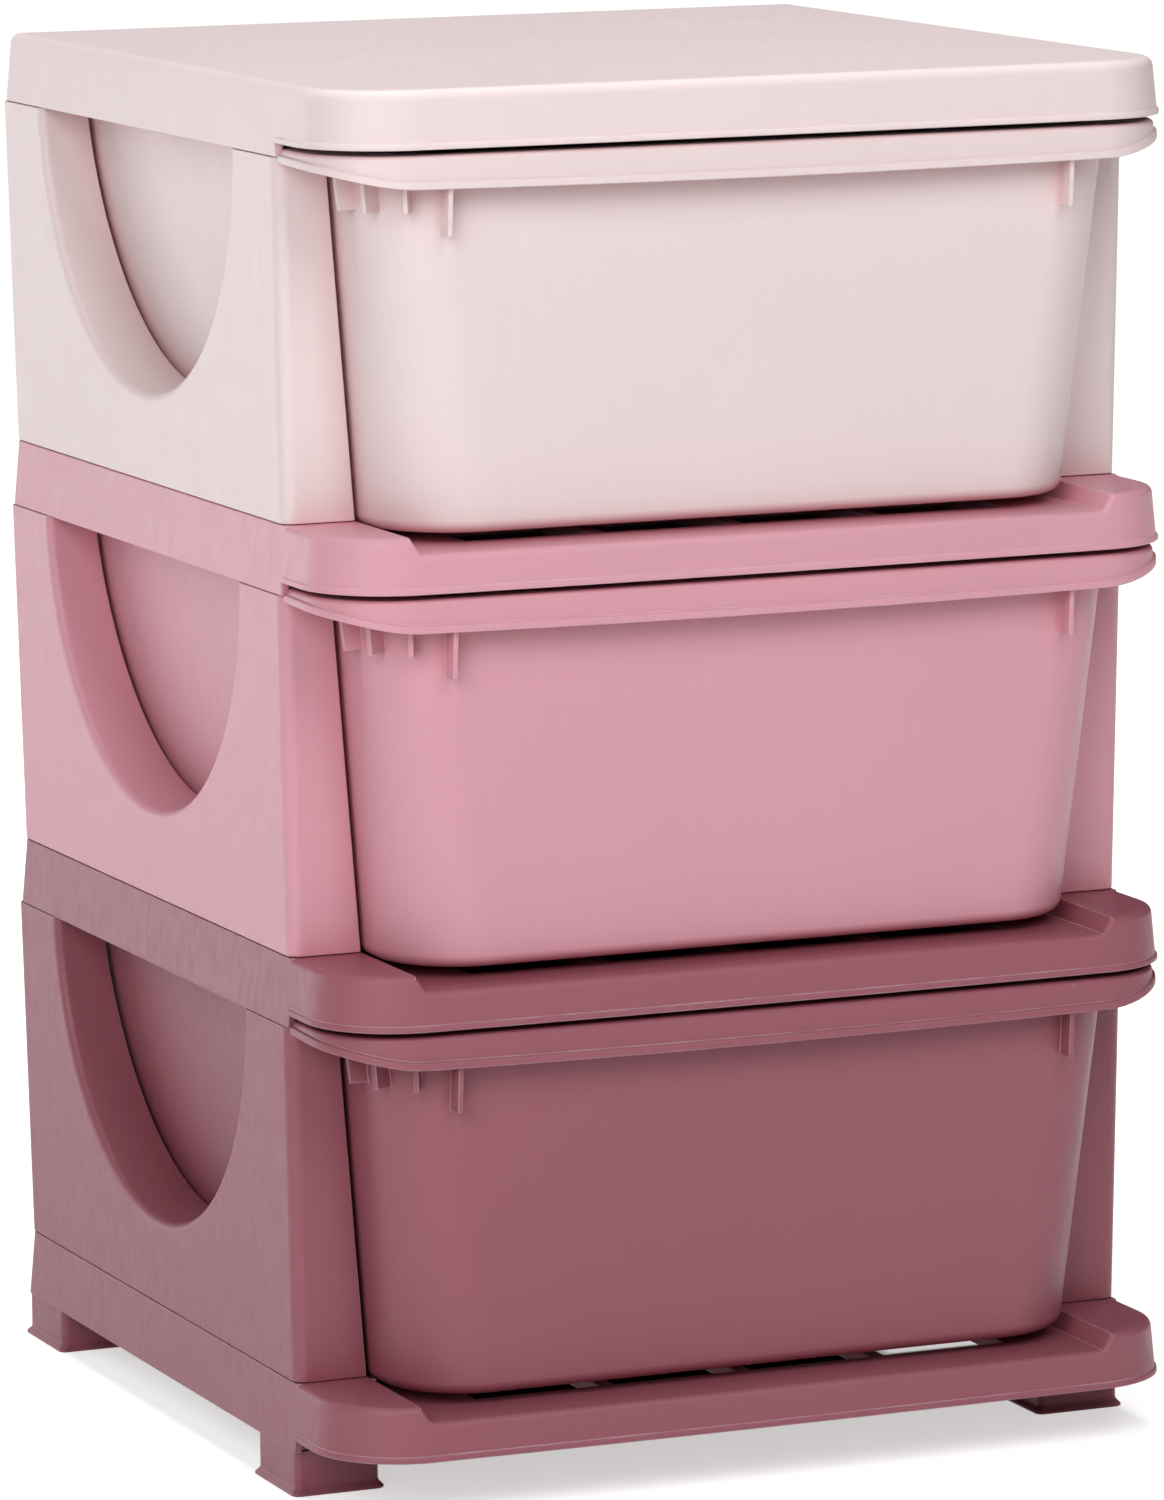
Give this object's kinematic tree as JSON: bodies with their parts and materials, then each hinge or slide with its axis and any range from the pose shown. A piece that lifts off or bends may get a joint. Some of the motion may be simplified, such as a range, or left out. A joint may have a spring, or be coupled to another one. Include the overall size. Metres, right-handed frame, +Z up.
{
  "type": "plastic drawer storage unit",
  "caption": "Tower of pull-out plastic totes on moulded shelves, with hooded pull lips, round side windows and short feet.",
  "frame": {"origin": "on the floor, under the middle of the unit's width and depth", "axes": "+X to the viewer's right, +Y to the back, +Z up; the drawers face -Y"},
  "size_m": [0.3706, 0.388, 0.565],
  "materials": {
    "pale_plastic": "satin moulded plastic, pale pink",
    "rose_plastic": "satin moulded plastic, rose",
    "mauve_plastic": "satin moulded plastic, dusky mauve"
  },
  "bodies": {
    "frame": {"top_cover": "pale_plastic", "upper_left_panel": "pale_plastic", "upper_right_panel": "pale_plastic", "upper_shelf": "rose_plastic", "middle_left_panel": "rose_plastic", "middle_right_panel": "rose_plastic", "lower_shelf": "mauve_plastic", "lower_left_panel": "mauve_plastic", "lower_right_panel": "mauve_plastic", "base_shelf": "mauve_plastic", "front_left_foot": "mauve_plastic", "front_right_foot": "mauve_plastic", "rear_left_foot": "mauve_plastic", "rear_right_foot": "mauve_plastic"},
    "upper_drawer_body": {"upper_drawer": "pale_plastic"},
    "middle_drawer_body": {"middle_drawer": "rose_plastic"},
    "lower_drawer_body": {"lower_drawer": "mauve_plastic"}
  },
  "joints": [
    {"name": "upper_drawer_slide", "type": "slide", "parent": "frame", "child": "upper_drawer_body", "axis": [0, -1, 0], "range_m": [0, 0.25]},
    {"name": "middle_drawer_slide", "type": "slide", "parent": "frame", "child": "middle_drawer_body", "axis": [0, -1, 0], "range_m": [0, 0.25]},
    {"name": "lower_drawer_slide", "type": "slide", "parent": "frame", "child": "lower_drawer_body", "axis": [0, -1, 0], "range_m": [0, 0.25]}
  ]
}
